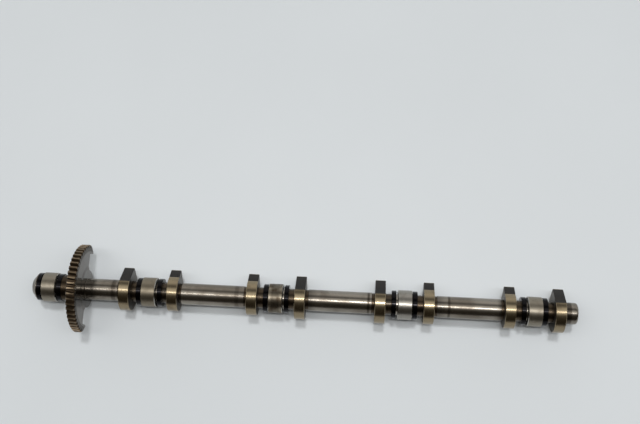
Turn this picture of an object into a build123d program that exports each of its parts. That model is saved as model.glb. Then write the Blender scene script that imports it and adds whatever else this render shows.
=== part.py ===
"""Eccentric camshaft of a small four-cylinder engine, lying on its cams as on a table.

The shaft's axis is X, with the worm-wheel end at -X, and +Z is up.  The origin is on
that axis, in the middle of cylinder 1's bearing journal.
"""

import os
from math import acos, asin, atan2, cos, degrees, hypot, isclose, pi, radians, sin, sqrt, tan

from build123d import *

# ------------------------------------------------------------------ driving dimensions
# millimetres and degrees

# shaft
cylinder_count = 4
cylinder_pitch = 84.0
worm_end_span = 67.1  # worm-end journal to cylinder 1's journal
shaft_diameter = 14.1
neck_diameter = 13.7  # between a collar and the cam beside it
journal_diameter = 14.0
journal_width = 10.8
collar_diameter = 18.4
collar_width = 3.0
end_taper_length = 3.2
end_taper_diameter = 11.0
end_stub_length = 9.0
end_stub_chamfer = 2.2
centre_hole_diameter = 4.0
centre_hole_angle = 60.0

# cams
cam_spacing = 31.7  # between the middles of one cylinder's two cams
cam_width = 6.8
nose_reach = 15.4
nose_radius = 0.8
high_base_diameter = 25.8
high_flat_end = 62.5  # from the nose round to where the unground flat ends
low_base_diameter = 23.6
low_flat_end = 28.7

# worm-wheel sector
wheel_station = -45.7
wheel_width = 5.8
wheel_module = 1.08
wheel_full_teeth = 52
wheel_gap_count = 24
wheel_outer_diameter = 58.8
wheel_edge_chamfer = 0.8
wheel_lead_angle = 4.5
wheel_lean = 4.0  # of the middle tooth towards +Y
worm_pitch_diameter = 16.0
pressure_angle = 20.0
rim_inner_diameter = 47.6
web_recess = 0.5
web_recess_margin = 1.0  # beyond the hub
sector_corner_fillet = 1.0
sector_cut_height = 2.2  # the web stops this far above the axis
hook_inner_height = -1.1
hook_tip_height = -3.2
hook_tip_across = 24.5
hook_outer_height = 3.2
hub_diameter = 25.2
boss_diameter = 17.4  # between the worm-end journal and the wheel
boss_chamfer = 2.5
wheel_root_chamfer = 1.0

# needle bearings
shell_wall = 0.95
shell_width = 9.5
split_gap = 0.1
split_key_width = 2.4
split_key_height = 1.1
needle_diameter = 1.6
needle_length = 6.8
needle_count = 8
needle_sides = 12  # few faces, as the needles are sealed in
running_clearance = 0.05  # of a needle, radially, to the journal and to the shell
cage_width = 9.0
cage_clearance = 0.25  # radially, to the journal and to the shell
cage_split_gap = 0.3
pocket_clearance = 0.1
least_side_gap = 0.1  # between a shell and a collar
bearing_shift = (-0.2, -1.0, -0.7, 0.8, 1.0)  # share of the side play each one has taken
bearing_turn = (-4.0, -15.0, 0.0, 3.0, -6.0)  # of the split from level, as each one lies

# ------------------------------------------------------------------- worked-out places

journal_stations = [-worm_end_span] + [cylinder_pitch * n for n in range(cylinder_count)]
collar_reach = journal_width / 2 + collar_width
cam_inner_reach = (cam_spacing - cam_width) / 2
cam_outer_reach = (cam_spacing + cam_width) / 2
left_end = journal_stations[0] - collar_reach - end_taper_length
right_end = journal_stations[-1] + cam_outer_reach + end_stub_length

wheel_pitch_radius = wheel_module * wheel_full_teeth / 2
worm_distance = wheel_pitch_radius + worm_pitch_diameter / 2
wheel_plane = Plane.YZ.offset(wheel_station).rotated((-wheel_lean, 0, 0))

raceway_diameter = journal_diameter + 2 * needle_diameter + 4 * running_clearance
needle_circle = (journal_diameter + raceway_diameter) / 4
shell_diameter = raceway_diameter + 2 * shell_wall
side_play = (journal_width - shell_width) / 2 - least_side_gap

# --------------------------------------------------------------------------- tooth gap
# A ring round the worm's axis with the section of one thread.  Its frame is the
# wheel's: the wheel turns about Z, and the worm's axis stands off it along X.

thread_half_width = pi * wheel_module / 4
thread_depth = 1.25 * wheel_module
thread_rise = 2 * wheel_module
thread_slope = tan(radians(pressure_angle))
thread_tip = thread_half_width - thread_depth * thread_slope
thread_root = thread_half_width + thread_rise * thread_slope

with BuildPart() as tooth_gap:
    with BuildSketch(Plane.XY):
        with BuildLine():
            Polyline(
                (wheel_pitch_radius - thread_depth, -thread_tip),
                (wheel_pitch_radius - thread_depth, thread_tip),
                (wheel_pitch_radius + thread_rise, thread_root),
                (wheel_pitch_radius + thread_rise, -thread_root),
                close=True,
            )
        make_face()
    revolve(axis=Axis((worm_distance, 0, 0), (0, 1, 0)))

leaning_gap = tooth_gap.part.rotate(Axis.X, -wheel_lead_angle)

# ------------------------------------------------------------------- worm-wheel sector

wheel_radius = wheel_outer_diameter / 2
rim_inner_radius = rim_inner_diameter / 2
hook_tip = Vector(hook_tip_across, hook_tip_height)
hook_outer = Vector(sqrt(wheel_radius**2 - hook_outer_height**2), hook_outer_height)
hook_inner = Vector(sqrt(rim_inner_radius**2 - hook_inner_height**2), hook_inner_height)
beyond_rim = hook_tip + (hook_outer - hook_tip) * 2
cut_angle = degrees(asin(sector_cut_height / rim_inner_radius))

with BuildPart() as wheel_sector:
    with BuildSketch(wheel_plane.offset(-wheel_width / 2)) as sector_outline:
        Circle(wheel_radius)
        with BuildLine():  # everything below the ends of the rim
            Polyline(
                (beyond_rim.X, beyond_rim.Y),
                (hook_tip.X, hook_tip.Y),
                (hook_inner.X, hook_inner.Y),
                (-hook_inner.X, hook_inner.Y),
                (-hook_tip.X, hook_tip.Y),
                (-beyond_rim.X, beyond_rim.Y),
                (-beyond_rim.X, -wheel_radius),
                (beyond_rim.X, -wheel_radius),
                close=True,
            )
        make_face(mode=Mode.SUBTRACT)
        with BuildLine():  # the open half inside the rim
            inside_arc = CenterArc((0, 0), rim_inner_radius, 180 - cut_angle, 180 + 2 * cut_angle)
            Line(inside_arc @ 1, inside_arc @ 0)
        make_face(mode=Mode.SUBTRACT)
        Circle(hub_diameter / 2)
        web_corners = sector_outline.vertices().filter_by_position(
            Axis.Y, sector_cut_height - 0.01, sector_cut_height + 0.01
        )
        fillet(web_corners, sector_corner_fillet)
    extrude(amount=wheel_width)

    rim_edges = wheel_sector.edges().filter_by(GeomType.CIRCLE)
    chamfer(rim_edges.filter_by(lambda e: isclose(e.radius, wheel_radius)), wheel_edge_chamfer)

    for face_side in (-1, 1):
        with BuildSketch(wheel_plane.offset(face_side * wheel_width / 2)):
            Circle(rim_inner_radius)
            Circle(hub_diameter / 2 + web_recess_margin, mode=Mode.SUBTRACT)
        extrude(amount=-face_side * web_recess, mode=Mode.SUBTRACT)

    with Locations(wheel_plane):
        Torus(worm_distance, worm_pitch_diameter / 2 - wheel_module, mode=Mode.SUBTRACT)
        tooth_angle = 360 / wheel_full_teeth
        first_gap = 90 - tooth_angle * (wheel_gap_count - 1) / 2
        with PolarLocations(0, wheel_gap_count, first_gap, tooth_angle * wheel_gap_count):
            add(leaning_gap, mode=Mode.SUBTRACT)


# --------------------------------------------------------------------- eccentric shaft


def cam_at(station, base_diameter, flat_end):
    """Build one cam: base circle, ground lower flank, nose arc and unground upper flat."""
    base = base_diameter / 2
    nose_centre = nose_reach - nose_radius
    flank_angle = acos((base - nose_radius) / nose_centre)
    flat_across = base * cos(radians(flat_end)) - nose_centre
    flat_up = base * sin(radians(flat_end))
    flat_angle = atan2(flat_up, flat_across) - acos(nose_radius / hypot(flat_across, flat_up))
    base_sweep = 360 - flat_end - degrees(flank_angle)
    nose_sweep = degrees(flank_angle + flat_angle)
    with BuildPart() as cam:
        with BuildSketch(Plane.YZ.offset(station - cam_width / 2)):
            with BuildLine():
                base_arc = CenterArc((0, 0), base, flat_end, base_sweep)
                nose_arc = CenterArc(
                    (nose_centre, 0), nose_radius, -degrees(flank_angle), nose_sweep
                )
                Line(base_arc @ 1, nose_arc @ 0)
                Line(nose_arc @ 1, base_arc @ 0)
            make_face()
        extrude(amount=cam_width)
    return cam.part


def turned(start, end, diameter):
    """Turn one plain length of the shaft between two stations along X."""
    with Locations(Plane.YZ.offset(start)):
        Cylinder(diameter / 2, end - start, align=(Align.CENTER, Align.CENTER, Align.MIN))


centre_hole_depth = centre_hole_diameter / 2 / tan(radians(centre_hole_angle / 2))

with BuildPart() as eccentric_shaft:
    for station in journal_stations:
        turned(station - journal_width / 2, station + journal_width / 2, journal_diameter)
        turned(station - collar_reach, station - journal_width / 2, collar_diameter)
        turned(station + journal_width / 2, station + collar_reach, collar_diameter)

    with Locations(Plane.YZ.offset(left_end)):
        Cone(
            end_taper_diameter / 2,
            collar_diameter / 2,
            end_taper_length,
            align=(Align.CENTER, Align.CENTER, Align.MIN),
        )

    # plain lengths, from the wheel to the right end, and the necks beside the journals
    plain_start = wheel_station
    for station in journal_stations[1:]:
        turned(plain_start, station - cam_outer_reach, shaft_diameter)
        turned(station - cam_inner_reach, station - collar_reach, neck_diameter)
        turned(station + collar_reach, station + cam_inner_reach, neck_diameter)
        plain_start = station + cam_outer_reach
    turned(plain_start, right_end, shaft_diameter)
    chamfer(eccentric_shaft.edges().group_by(Axis.X)[-1], end_stub_chamfer)

    # cams: the high and the low profile swap sides from one cylinder to the next
    for n, station in enumerate(journal_stations[1:]):
        high_side = -1 if n % 2 == 0 else 1
        add(cam_at(station + high_side * cam_spacing / 2, high_base_diameter, high_flat_end))
        add(cam_at(station - high_side * cam_spacing / 2, low_base_diameter, low_flat_end))

    # worm-wheel sector and its boss
    turned(journal_stations[0] + collar_reach, wheel_station, boss_diameter)
    add(wheel_sector.part)
    roots = eccentric_shaft.edges().filter_by(GeomType.CIRCLE)
    boss_root = roots.filter_by_position(
        Axis.X, wheel_station - wheel_width / 2 - 0.01, wheel_station - wheel_width / 2 + 0.01
    )
    chamfer(boss_root.filter_by(lambda e: isclose(e.radius, boss_diameter / 2)), boss_chamfer)
    shaft_root = roots.filter_by_position(
        Axis.X, wheel_station + wheel_width / 2 - 0.01, wheel_station + wheel_width / 2 + 0.01
    )
    chamfer(
        shaft_root.filter_by(lambda e: isclose(e.radius, shaft_diameter / 2)), wheel_root_chamfer
    )

    # centre holes for turning and grinding
    with Locations(Plane.YZ.offset(left_end), -Plane.YZ.offset(right_end)):
        Cone(
            centre_hole_diameter / 2,
            0,
            centre_hole_depth,
            align=(Align.CENTER, Align.CENTER, Align.MIN),
            mode=Mode.SUBTRACT,
        )

# ---------------------------------------------------------------------- needle bearing


def seam_plane_of(bearing_plane):
    """Give the plane in which a bearing's split is drawn: along its axis, and up."""
    return Plane(bearing_plane.origin, x_dir=bearing_plane.z_dir, z_dir=-bearing_plane.x_dir)


def lower_side_outline(bearing_plane, growth):
    """Draw the space that the lower shell fills, with the key that locks its split."""
    with BuildSketch(seam_plane_of(bearing_plane)) as outline:
        Rectangle(2 * shell_width, shell_diameter, align=(Align.CENTER, Align.MAX))
        Rectangle(split_key_width, split_key_height, align=(Align.CENTER, Align.MIN))
        offset(amount=growth, kind=Kind.INTERSECTION)
    return outline.sketch


def shell_half(bearing_plane, is_upper):
    """Build half of the split outer shell."""
    with BuildPart(bearing_plane) as shell:
        Cylinder(shell_diameter / 2, shell_width)
        Cylinder(raceway_diameter / 2, shell_width, mode=Mode.SUBTRACT)
        side_of_split = lower_side_outline(bearing_plane, split_gap if is_upper else 0.0)
        trim = Mode.SUBTRACT if is_upper else Mode.INTERSECT
        extrude(side_of_split, amount=shell_diameter, both=True, mode=trim)
    return shell.part


def cage_half(bearing_plane, is_upper):
    """Build half of the split cage, flat at each bar and at each needle's pocket."""
    flats = 2 * needle_count
    outer_radius = raceway_diameter / 2 - cage_clearance
    inner_radius = journal_diameter / 2 + cage_clearance
    with BuildPart(bearing_plane) as cage:
        with BuildSketch(bearing_plane.offset(-cage_width / 2)):
            RegularPolygon(outer_radius, flats, rotation=180 / flats)
            RegularPolygon(
                inner_radius, flats, major_radius=False, rotation=180 / flats, mode=Mode.SUBTRACT
            )
        extrude(amount=cage_width)
        with PolarLocations(needle_circle, needle_count, 180 / needle_count):
            Box(
                raceway_diameter - journal_diameter,
                needle_diameter + 2 * pocket_clearance,
                needle_length + 2 * pocket_clearance,
                mode=Mode.SUBTRACT,
            )
        half_space = Align.MIN if is_upper else Align.MAX
        split_shift = cage_split_gap / 2 if is_upper else -cage_split_gap / 2
        with Locations((0, split_shift, 0)):
            Box(
                shell_diameter,
                shell_diameter,
                cage_width,
                align=(Align.CENTER, half_space, Align.CENTER),
                mode=Mode.INTERSECT,
            )
    return cage.part


def needle_set(bearing_plane):
    """Build the ring of needles of one bearing."""
    with BuildPart() as needles:
        with BuildSketch(bearing_plane.offset(-needle_length / 2)):
            with PolarLocations(needle_circle, needle_count, 180 / needle_count):
                RegularPolygon(needle_diameter / 2, needle_sides)
        extrude(amount=needle_length)
    return needles.part


# ------------------------------------------------------------------------------ export

finished = {"eccentric_shaft": eccentric_shaft.part}
for number, station in enumerate(journal_stations, start=1):
    middle = station + bearing_shift[number - 1] * side_play
    lying = Plane.YZ.offset(middle).rotated((bearing_turn[number - 1], 0, 0))
    finished[f"bearing_{number}_upper_shell"] = shell_half(lying, True)
    finished[f"bearing_{number}_lower_shell"] = shell_half(lying, False)
    finished[f"bearing_{number}_upper_cage"] = cage_half(lying, True)
    finished[f"bearing_{number}_lower_cage"] = cage_half(lying, False)
    finished[f"bearing_{number}_needles"] = needle_set(lying)

os.makedirs("parts", exist_ok=True)
for name, piece in finished.items():
    piece.label = name
    export_step(piece, f"parts/{name}.step")
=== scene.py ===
"""The looks of an eccentric camshaft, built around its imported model.

One operator turns the shaft, one grinds its cams, one cuts the worm-wheel sector, two make
the split needle bearings, and one lays out the table, the lamps and the camera.
"""

from math import acos, atan, atan2, cos, hypot, pi, radians, sin, tan

import bpy
import numpy as np
from bpy.props import FloatProperty, FloatVectorProperty, IntProperty, PointerProperty
from mathutils import Matrix, Vector


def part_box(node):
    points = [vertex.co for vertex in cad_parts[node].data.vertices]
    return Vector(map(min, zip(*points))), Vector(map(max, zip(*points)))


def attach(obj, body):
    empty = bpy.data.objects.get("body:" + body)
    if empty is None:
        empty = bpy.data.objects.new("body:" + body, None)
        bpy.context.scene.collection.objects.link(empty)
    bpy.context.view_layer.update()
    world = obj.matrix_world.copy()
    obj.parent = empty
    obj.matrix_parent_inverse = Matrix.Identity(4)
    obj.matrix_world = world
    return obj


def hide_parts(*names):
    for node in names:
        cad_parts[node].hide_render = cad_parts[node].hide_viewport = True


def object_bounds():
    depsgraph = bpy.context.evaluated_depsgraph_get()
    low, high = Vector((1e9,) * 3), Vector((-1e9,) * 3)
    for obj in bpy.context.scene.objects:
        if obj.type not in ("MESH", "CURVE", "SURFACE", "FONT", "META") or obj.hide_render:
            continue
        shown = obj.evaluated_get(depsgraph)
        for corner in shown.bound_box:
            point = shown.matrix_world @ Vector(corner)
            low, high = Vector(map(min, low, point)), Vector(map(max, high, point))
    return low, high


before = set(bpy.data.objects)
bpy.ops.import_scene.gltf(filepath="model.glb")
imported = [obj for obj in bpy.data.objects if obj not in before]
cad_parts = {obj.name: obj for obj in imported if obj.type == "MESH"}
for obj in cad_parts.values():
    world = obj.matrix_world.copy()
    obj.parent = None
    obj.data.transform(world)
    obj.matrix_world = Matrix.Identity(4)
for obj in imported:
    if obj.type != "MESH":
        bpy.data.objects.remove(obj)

bl_info = {
    "name": "Eccentric Camshaft",
    "version": (1, 0, 0),
    "blender": (4, 5, 0),
    "location": "View3D > Sidebar > Camshaft",
    "description": "Builds the shaft, cams, worm-wheel sector and bearings of a camshaft",
    "category": "Object",
}

MM = 0.001
SHAFT_NODE = "eccentric_shaft"

cad_low, cad_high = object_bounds()
BEARING_COUNT = sum(name.endswith("_needles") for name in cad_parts)


# ------------------------------------------------------------------------- properties


def length(name, description, millimetres):
    """A length that the user can change, given here in millimetres and kept in metres."""
    return FloatProperty(
        name=name, description=description, default=millimetres * MM, unit="LENGTH", precision=5
    )


def angle(name, description, turned):
    """An angle that the user can change, given here in degrees and kept in radians."""
    return FloatProperty(
        name=name, description=description, default=radians(turned), subtype="ANGLE"
    )


def amount(name, description, value):
    """A plain number that the user can change."""
    return FloatProperty(name=name, description=description, default=value, min=0.0)


def count(name, description, value):
    """A whole number that the user can change."""
    return IntProperty(name=name, description=description, default=value, min=1)


def colour(name, description, red, green, blue):
    """A colour that the user can change, in linear light."""
    return FloatVectorProperty(
        name=name,
        description=description,
        default=(red, green, blue),
        subtype="COLOR",
        size=3,
        min=0.0,
        max=1.0,
    )


class ShaftSizes(bpy.types.PropertyGroup):
    """Sizes of the turned shaft."""

    cylinder_pitch: length("Cylinder pitch", "From one cylinder's journal to the next", 84.0)
    worm_end_span: length("Worm-end span", "Worm-end journal to cylinder 1's journal", 67.1)
    shaft_diameter: length("Shaft", "Diameter of the plain lengths", 14.1)
    neck_diameter: length("Neck", "Diameter between a collar and the cam beside it", 13.7)
    relief_diameter: length("Relief", "Diameter of the grinding relief beside a cam", 13.5)
    relief_width: length("Relief width", "Width of the grinding relief", 2.0)
    stub_relief_width: length("Stub relief width", "Width of the relief at the stub", 0.8)
    journal_diameter: length("Journal", "Diameter that the needles run on", 14.0)
    journal_width: length("Journal width", "Between two collars", 10.8)
    collar_diameter: length("Collar", "Diameter of the collars", 18.4)
    collar_width: length("Collar width", "Width of one collar", 3.0)
    collar_chamfer: length("Collar chamfer", "Break of a collar's rim", 0.4)
    taper_length: length("Taper length", "Length of the tapered end", 3.2)
    taper_diameter: length("Taper", "Small diameter of the tapered end", 11.0)
    stub_length: length("Stub length", "From the last cam to the plain end", 9.0)
    stub_rounding: length("Stub rounding", "Rounding of the plain end", 2.6)
    centre_hole_diameter: length("Centre hole", "Diameter of the centre holes", 4.0)
    centre_hole_angle: angle("Centre angle", "Whole angle of the centre holes", 60.0)
    boss_diameter: length("Boss", "Diameter beside the worm wheel", 17.4)
    boss_rounding: length("Boss rounding", "Fillet of the boss at the wheel", 2.5)
    root_rounding: length("Root rounding", "Fillet of the shaft at the wheel", 0.4)
    edge_break: length("Edge break", "Rounding of the other edges", 0.15)


class CamSizes(bpy.types.PropertyGroup):
    """Sizes of the eccentric cams."""

    cam_spacing: length("Spacing", "Between the middles of one cylinder's two cams", 31.7)
    cam_width: length("Width", "Width of a cam", 6.8)
    edge_chamfer: length("Edge chamfer", "Break of a cam's edges", 0.25)
    nose_reach: length("Nose reach", "From the axis to the tip of the nose", 15.4)
    nose_radius: length("Nose radius", "Radius of the nose", 0.8)
    high_base_diameter: length("High base", "Base circle of a high cam", 25.8)
    high_flat_end: angle("High flat end", "Where a high cam's flat ends", 62.5)
    low_base_diameter: length("Low base", "Base circle of a low cam", 23.6)
    low_flat_end: angle("Low flat end", "Where a low cam's flat ends", 28.7)


class WheelSizes(bpy.types.PropertyGroup):
    """Sizes of the worm-wheel sector."""

    station: length("Station", "Middle of the wheel along the shaft", -45.7)
    wheel_width: length("Width", "Width of the rim", 5.8)
    tooth_module: length("Module", "Module of the teeth", 1.08)
    full_teeth: count("Teeth", "Teeth of a whole wheel", 52)
    gap_count: count("Gaps", "Gaps cut in the sector", 24)
    outer_diameter: length("Outside", "Diameter over the teeth", 58.8)
    edge_chamfer: length("Edge chamfer", "Chamfer of the rim's edges", 0.8)
    lead_angle: angle("Lead", "Lead angle of the worm", 4.5)
    lean: angle("Lean", "Lean of the middle tooth towards the cams' noses", 4.0)
    tip_crown: length("Tip crown", "Rise of a tooth's worn tip at its middle", 0.06)
    worm_pitch_diameter: length("Worm", "Pitch diameter of the worm", 16.0)
    pressure_angle: angle("Pressure angle", "Slope of the teeth", 20.0)
    rim_inner_diameter: length("Rim inside", "Inner diameter of the rim", 47.6)
    web_recess: length("Web recess", "Depth of the recess in each face", 0.5)
    web_recess_margin: length("Recess margin", "Full-width ring round the hub", 1.0)
    corner_fillet: length("Corner fillet", "Fillet of the web's corners", 1.0)
    cut_height: length("Cut height", "The web stops this far above the axis", 2.2)
    hook_inner_height: length("Hook inside", "Height of the hook's inner corner", -1.1)
    hook_tip_height: length("Hook tip", "Height of the hook's tip", -3.2)
    hook_tip_across: length("Hook across", "Hook's tip from the middle", 24.5)
    hook_outer_height: length("Hook outside", "Height of the hook's outer corner", 3.2)
    hub_diameter: length("Hub", "Diameter of the hub", 25.2)


class BearingSizes(bpy.types.PropertyGroup):
    """Sizes of the split needle bearings."""

    shell_diameter: length("Sleeve", "Outside of the split sleeve", 19.3)
    raceway_diameter: length("Raceway", "Inside of the split sleeve", 17.4)
    shell_width: length("Sleeve width", "Width of the split sleeve", 9.5)
    shell_chamfer: length("Sleeve chamfer", "Chamfer of the sleeve's rims", 0.4)
    split_gap: length("Split gap", "Gap at the split", 0.1)
    split_key_width: length("Key width", "Width of the key at the split", 2.4)
    split_key_height: length("Key height", "Height of the key at the split", 1.1)
    needle_diameter: length("Needle", "Diameter of a needle", 1.6)
    needle_length: length("Needle length", "Length of a needle", 6.8)
    needle_count: count("Needles", "Needles in one bearing", 8)


class Finishes(bpy.types.PropertyGroup):
    """Colours of the finishes."""

    shaft_steel: colour("Shaft steel", "Ground steel of the plain lengths", 0.325, 0.292, 0.248)
    cam_steel: colour("Cam steel", "Ground steel of the cams", 0.325, 0.262, 0.170)
    # The first of the two flat colours, near the shaft, is partly baked oil and partly painted shade
    # where the flats meet the shaft; the second is the flats' own colour further out.
    raw_flat_shaded: colour("Raw flat", "Unground flats of the cams near the shaft", 0.0080, 0.0075, 0.0070)
    raw_nose: colour("Raw nose", "Unground flats of the cams at the nose", 0.026, 0.0245, 0.023)
    cam_side: colour("Cam side", "Milled sides of the cams", 0.120, 0.112, 0.102)
    web_steel: colour("Web steel", "Ground web and hub of the wheel", 0.150, 0.142, 0.132)
    black_steel: colour("Black steel", "Hardened collars", 0.0150, 0.0140, 0.0150)
    neck_steel: colour("Neck steel", "Necks and reliefs", 0.070, 0.060, 0.048)
    tooth_steel: colour("Tooth steel", "Polished tips of the teeth", 0.225, 0.170, 0.112)
    rim_steel: colour("Rim steel", "Oiled sides of the wheel's rim", 0.060, 0.051, 0.038)
    gap_oil: colour("Gap oil", "Baked oil between the teeth", 0.058, 0.038, 0.021)
    # the bare sleeve colour is set lighter than the steel alone: partly painted highlight for sleeve
    # 4, which takes it untinted, under the brighter light over it
    sleeve_steel: colour("Sleeve steel", "Bare split sleeves", 0.350, 0.328, 0.290)
    straw_steel: colour("Straw steel", "Sleeves tinted by hot oil", 0.268, 0.227, 0.165)
    cage_plastic: colour("Cage plastic", "Moulded cages", 0.012, 0.011, 0.011)
    needle_steel: colour("Needle steel", "Needles", 0.50, 0.49, 0.47)
    # the sleeves' chamfers: lighter than the sleeves, a painted highlight for their bright reflected
    # rims
    rim_highlight_shade: colour("Bright edge", "Rubbed rims of the sleeves", 0.44, 0.42, 0.38)
    old_oil: colour("Old oil", "Film of baked oil", 0.085, 0.058, 0.034)
    table: colour("Table", "Table top", 0.638, 0.670, 0.692)


class StageSettings(bpy.types.PropertyGroup):
    """The table, the lamps and the camera."""

    focal_length: FloatProperty(
        name="Focal length", description="On a 36 mm sensor, in millimetres", default=50.29
    )
    camera_place: FloatVectorProperty(
        name="Camera place",
        description="Camera above the shaft",
        default=(139.38 * MM, -26.3 * MM, 592.2 * MM),
        subtype="TRANSLATION",
        unit="LENGTH",
    )
    camera_turn: FloatVectorProperty(
        name="Camera turn",
        description="Turn of the camera about X, Y and Z",
        default=(radians(8.34), radians(2.44), radians(3.03)),
        subtype="EULER",
    )
    tube_light: amount("Tube", "Share of the table's light from the tube overhead", 0.215)
    panel_light: amount("Panel", "Share of the table's light from the panel overhead", 0.085)
    window_light: amount("Window", "Share of the table's light from the high window", 0.30)
    window_height: angle("Window angle", "Window's angle from overhead", 20.0)
    sky_level: amount("Sky", "Brightness of the room", 1.0)


GROUPS = {
    "camshaft_shaft": ShaftSizes,
    "camshaft_cams": CamSizes,
    "camshaft_wheel": WheelSizes,
    "camshaft_bearings": BearingSizes,
    "camshaft_finishes": Finishes,
    "camshaft_stage": StageSettings,
}


# ------------------------------------------------------------------------ mesh helpers
# A surface is (points, quads, finish), where finish is each quad's material.

SHARP_EDGE = radians(30.0)  # edges sharper than this stay sharp
SIDE_SHARE = 0.42  # most of a side that the rounding at one of its ends takes
SUPPORT_REACH = 1.12  # from a corner to its support points, in its rounding's reach


def grid_faces(rows, columns, rows_close=False, columns_close=False):
    """Quads of a grid of rows x columns points stored row by row.

    Quad (i, j) joins points (i, j), (i, j+1), (i+1, j+1) and (i+1, j), counted round
    where the grid closes on itself."""
    i = np.arange(rows if rows_close else rows - 1)[:, None]
    j = np.arange(columns if columns_close else columns - 1)[None, :]
    row, after_row = i * columns, (i + 1) % rows * columns
    after_j = (j + 1) % columns
    corners = (row + j, row + after_j, after_row + after_j, after_row + j)
    return np.stack(np.broadcast_arrays(*corners), axis=-1).reshape(-1, 4)


def outward(points, faces):
    """Faces turned outwards: six times the enclosed volume, summed over the corner
    tetrahedra of every quad, comes out positive."""
    a, b, c, d = (points[faces[:, k]] for k in range(4))
    volume = np.einsum("ij,ij->", a, np.cross(b, c)) + np.einsum("ij,ij->", a, np.cross(c, d))
    return faces if volume > 0 else faces[:, ::-1]


def new_object(name, data):
    """A new object in the scene."""
    made = bpy.data.objects.new(name, data)
    bpy.context.scene.collection.objects.link(made)
    return made


def add_piece(name, surface, materials, body, slot, *replaced):
    """Put a surface into a new mesh object that rides on a body and stands for CAD nodes.

    A quad with a repeated corner becomes a triangle."""
    points, faces, finish = surface
    faces = outward(points, faces)
    polygons = [tuple(dict.fromkeys(quad)) for quad in faces.tolist()]
    keep = [len(polygon) > 2 for polygon in polygons]
    mesh = bpy.data.meshes.new(name)
    mesh.from_pydata(points.tolist(), [], [p for p, kept in zip(polygons, keep) if kept])
    for material in materials:
        mesh.materials.append(material)
    mesh.polygons.foreach_set("material_index", finish[keep].astype(np.int32))
    mesh.polygons.foreach_set("use_smooth", np.ones(len(mesh.polygons), dtype=bool))
    mesh.set_sharp_from_angle(angle=SHARP_EDGE)
    mesh.update()
    piece = new_object(name, mesh)
    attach(piece, body)
    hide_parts(*replaced)


def rounded_profile(corners, rounding, steps=4):
    """Profile through corner points with each inner corner rounded off.

    At corner P, between A and C at the rounding's reach along its two sides, the curve
    is (1-t)^2 A + 2t(1-t) P + t^2 C. A support point lies just outside A and C, so that the
    shading of the flat lengths stays flat. Returns the points and each one's corner."""
    here = corners[1:-1]
    back, ahead = corners[:-2] - here, corners[2:] - here
    back_length = np.hypot(*back.T)[:, None]
    ahead_length = np.hypot(*ahead.T)[:, None]
    reach = np.minimum(rounding[1:-1, None], SIDE_SHARE * np.minimum(back_length, ahead_length))
    to_a, to_c = back / back_length * reach, ahead / ahead_length * reach
    a, p, c = ((here + shift)[:, None] for shift in (to_a, 0, to_c))
    t = np.linspace(0, 1, steps + 1)[None, :, None]
    arc = (1 - t) ** 2 * a + 2 * t * (1 - t) * p + t**2 * c
    before, beyond = ((here + shift * SUPPORT_REACH)[:, None] for shift in (to_a, to_c))
    inner = np.concatenate([before, arc, beyond], axis=1)
    owner = np.repeat(np.arange(1, len(corners) - 1), inner.shape[1])
    points = np.concatenate([corners[:1], inner.reshape(-1, 2), corners[-1:]])
    return points, np.concatenate([[0], owner, [len(corners) - 1]])


def around_x(x, reach, turn):
    """Points at a reach and a turn about X: (x, reach cos turn, reach sin turn)."""
    y, z = reach * np.cos(turn), reach * np.sin(turn)
    return np.stack(np.broadcast_arrays(x, y, z), axis=-1)


def revolve_profile(profile, around, row_finish=0):
    """Surface of revolution about X from a profile of points (x, reach).

    The profile starts and ends on the axis, where the rings shrink to one point."""
    turn = np.linspace(0, 2 * pi, around, endpoint=False)
    points = around_x(profile[:, :1], profile[:, 1:], turn).reshape(-1, 3)
    faces = grid_faces(len(profile), around, columns_close=True)
    last = (len(profile) - 1) * around
    faces = np.where(faces < around, 0, faces)
    finish = np.repeat(np.broadcast_to(row_finish, len(profile) - 1), around)
    return points, np.where(faces >= last, last, faces), finish


def capped_sweep(loops, row_finish=0, cap_finish=0):
    """Closed solid from section loops, one per column, of shape (loop, column, 3).

    The loop closes on itself; the first and last columns are capped by quads that join
    point i of the loop to point n-1-i, its partner across the wall."""
    rows, columns = loops.shape[:2]
    faces = grid_faces(rows, columns, rows_close=True)
    i = np.arange(rows // 2)
    partner = rows - 1 - i
    cap = np.stack([i, i + 1, partner - 1, partner], axis=-1) * columns
    finish = np.repeat(np.broadcast_to(row_finish, rows), columns - 1)
    finish = np.concatenate([finish, np.full(2 * len(cap), cap_finish)])
    faces = np.concatenate([faces, cap[:, ::-1], cap + columns - 1])
    return loops.reshape(-1, 3), faces, finish


# ---------------------------------------------------------------------------- materials

STREAK = (0.86, 1.10)  # how dark and how light the grinding marks make a colour
OIL_ROUGHNESS = 0.12  # added where the baked oil is thickest
RING_SHADE = 0.35  # colour of a dark ring, as a share of the oil film's; it serves the oil rings and the painted-shade rings alike
BUMP = 0.12  # strength of the grinding marks' bump
BUMP_HEIGHT = 0.02 * MM
GRAIN = {"Scale": 1.0, "Detail": 3.0, "Roughness": 0.6}  # the grinding marks' noise
CLOUD = {"Detail": 4.0, "Roughness": 0.55}  # the patches' noise
CLOUD_TOP = 0.75  # the noise hardly gets above this
NODE_SPACING = 200
NUMBER = "NodeSocketFloat"  # the kind of every input and output of the node groups

# the finish of the hub and the web
MILLED_WEB = {
    "roughness": (0.06, 0.10), "marks": (600, 600), "stain": (90, 0.35, 0.30, 22.0), "depth": 0.05
}


def node(tree, kind, inputs, **settings):
    """Add a shader node to the right of the others, and set or link its inputs."""
    made = tree.nodes.new("ShaderNode" + kind)
    made.location.x = NODE_SPACING * len(tree.nodes)
    for name, value in settings.items():
        setattr(made, name, value)
    for name, value in inputs.items():
        if isinstance(value, bpy.types.NodeSocket):
            tree.links.new(value, made.inputs[name])
        else:
            made.inputs[name].default_value = value
    return made


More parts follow.
